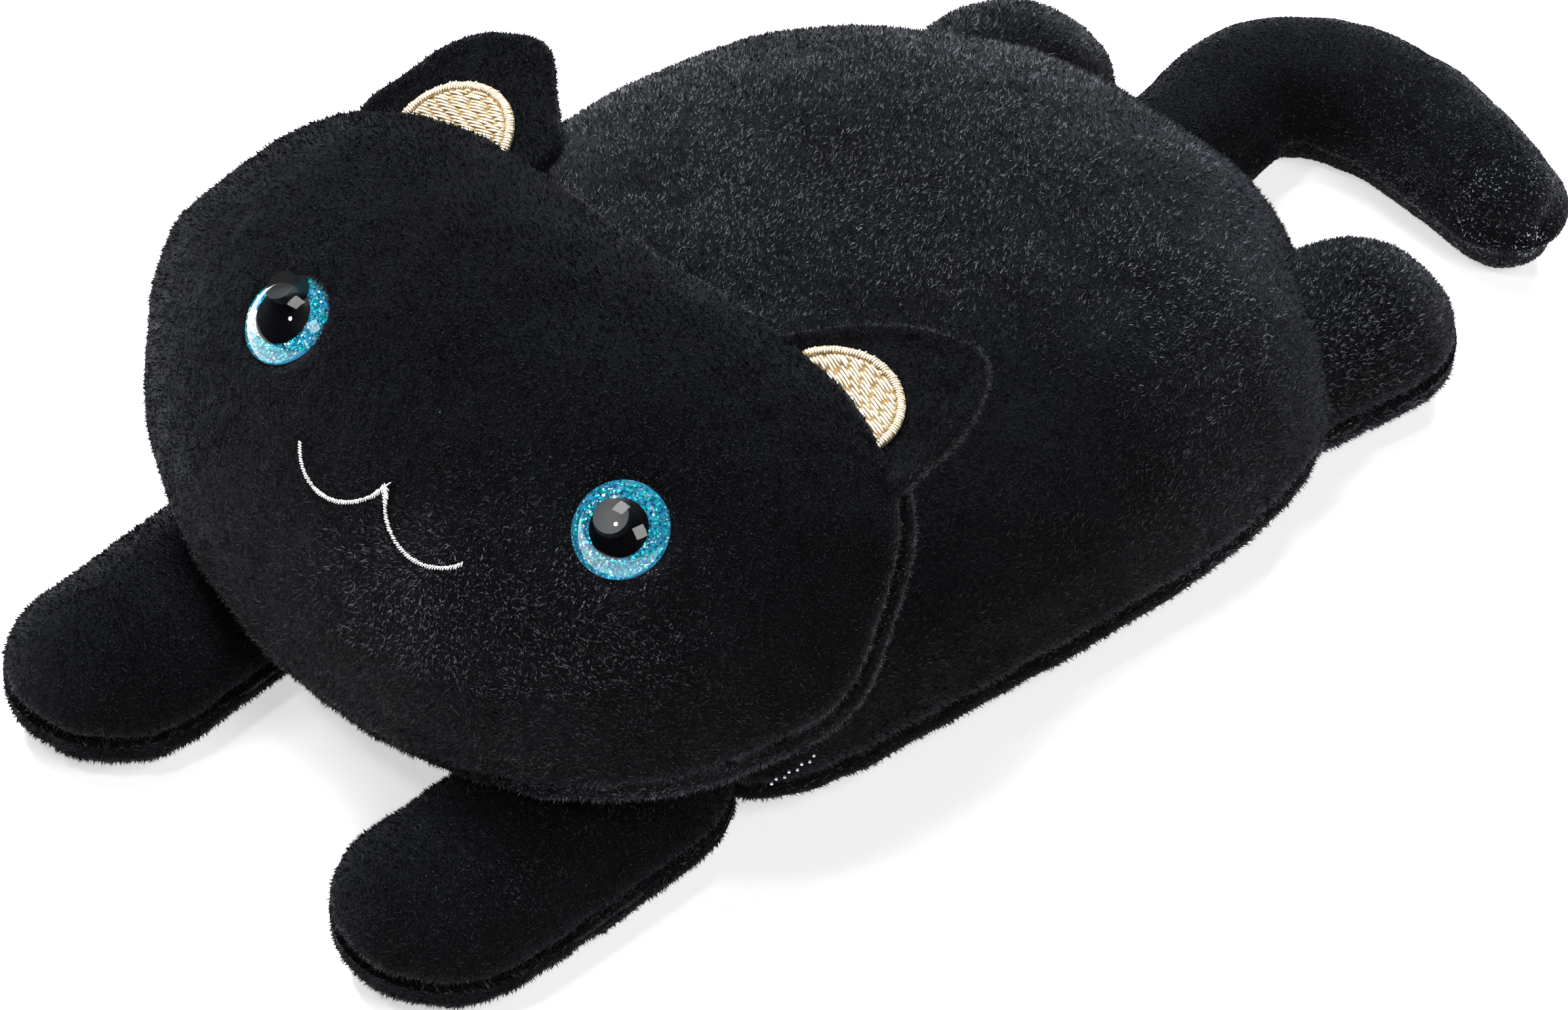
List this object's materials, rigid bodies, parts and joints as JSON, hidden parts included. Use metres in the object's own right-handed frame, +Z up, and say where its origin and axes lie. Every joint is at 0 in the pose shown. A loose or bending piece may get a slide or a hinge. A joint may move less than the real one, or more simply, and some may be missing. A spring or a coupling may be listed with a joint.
{
  "type": "plush cat",
  "caption": "Lying plush cat: a flat stuffed body with a tilted pillow head, embroidered ears and mouth, glitter safety eyes, stub legs and a curled tail, each on its own seam",
  "frame": {"origin": "under the middle of the cat, on the surface that its belly and paws lie on", "axes": "+X is the cat's left, +Y runs from the front paws to the tail, +Z is up"},
  "size_m": [0.137, 0.2415, 0.0724],
  "materials": {
    "plush": "short-pile polyester plush, near-black with a cool sheen",
    "filling": "loose white polyester fibre",
    "sewing_thread": "black polyester sewing thread",
    "mouth_thread": "white rayon satin stitch",
    "closing_thread": "pale grey hand-sewing thread",
    "ear_thread": "cream rayon embroidery with a satin border",
    "clear_acrylic": "clear moulded acrylic, polished",
    "glitter_foil": "turquoise and blue glitter film",
    "black_gloss": "black moulded plastic, glossy",
    "washer_plastic": "natural white polyethylene"
  },
  "bodies": {
    "torso": {"body_top_panel": "plush", "body_bottom_panel": "plush", "body_filling": "filling", "neck_stitching": "sewing_thread"},
    "head": {"head_face_panel": "plush", "head_back_panel": "plush", "head_filling": "filling", "mouth_embroidery": "mouth_thread", "head_closing_stitches": "closing_thread", "eye_dome_left": "clear_acrylic", "eye_iris_left": "glitter_foil", "eye_pupil_left": "black_gloss", "eye_post_left": "black_gloss", "eye_washer_left": "washer_plastic", "eye_dome_right": "clear_acrylic", "eye_iris_right": "glitter_foil", "eye_pupil_right": "black_gloss", "eye_post_right": "black_gloss", "eye_washer_right": "washer_plastic"},
    "ear_left": {"ear_left_front_panel": "plush", "ear_left_back_panel": "plush", "ear_left_embroidery": "ear_thread"},
    "ear_right": {"ear_right_front_panel": "plush", "ear_right_back_panel": "plush", "ear_right_embroidery": "ear_thread"},
    "front_leg_left": {"front_leg_left_top_panel": "plush", "front_leg_left_bottom_panel": "plush", "front_leg_left_filling": "filling"},
    "front_leg_right": {"front_leg_right_top_panel": "plush", "front_leg_right_bottom_panel": "plush", "front_leg_right_filling": "filling"},
    "hind_leg_left": {"hind_leg_left_top_panel": "plush", "hind_leg_left_bottom_panel": "plush", "hind_leg_left_filling": "filling"},
    "hind_leg_right": {"hind_leg_right_top_panel": "plush", "hind_leg_right_bottom_panel": "plush", "hind_leg_right_filling": "filling"},
    "tail": {"tail_top_panel": "plush", "tail_bottom_panel": "plush", "tail_filling": "filling"}
  },
  "joints": [
    {"name": "head_lift", "type": "hinge", "parent": "torso", "child": "head", "pos_m": [0, -0.036, 0.041], "axis": [-1, 0, 0], "range_deg": [0, 25], "stiffness_Nm_per_rad": 0.15},
    {"name": "ear_left_fold", "type": "hinge", "parent": "head", "child": "ear_left", "pos_m": [0.0399, -0.028, 0.0629], "axis": [0.9736, -0.1958, -0.1176], "range_deg": [-10, 35], "stiffness_Nm_per_rad": 0.01},
    {"name": "ear_right_fold", "type": "hinge", "parent": "head", "child": "ear_right", "pos_m": [-0.0399, -0.028, 0.0629], "axis": [0.9736, 0.1958, 0.1176], "range_deg": [-10, 35], "stiffness_Nm_per_rad": 0.01},
    {"name": "front_leg_left_splay", "type": "hinge", "parent": "torso", "child": "front_leg_left", "pos_m": [0.034, -0.0747, 0.0095], "axis": [0, 0, 1], "range_deg": [-8, 25], "stiffness_Nm_per_rad": 0.03},
    {"name": "front_leg_right_splay", "type": "hinge", "parent": "torso", "child": "front_leg_right", "pos_m": [-0.034, -0.0747, 0.0095], "axis": [0, 0, -1], "range_deg": [-8, 25], "stiffness_Nm_per_rad": 0.03},
    {"name": "hind_leg_left_splay", "type": "hinge", "parent": "torso", "child": "hind_leg_left", "pos_m": [0.04, 0.0568, 0.0095], "axis": [0, 0, -1], "range_deg": [-6, 20], "stiffness_Nm_per_rad": 0.03},
    {"name": "hind_leg_right_splay", "type": "hinge", "parent": "torso", "child": "hind_leg_right", "pos_m": [-0.0345, 0.0608, 0.0095], "axis": [0, 0, 1], "range_deg": [-6, 20], "stiffness_Nm_per_rad": 0.03},
    {"name": "tail_swing", "type": "hinge", "parent": "torso", "child": "tail", "pos_m": [-0.0035, 0.0813, 0.0093], "axis": [0, 0, 1], "range_deg": [-12, 20], "stiffness_Nm_per_rad": 0.03}
  ]
}
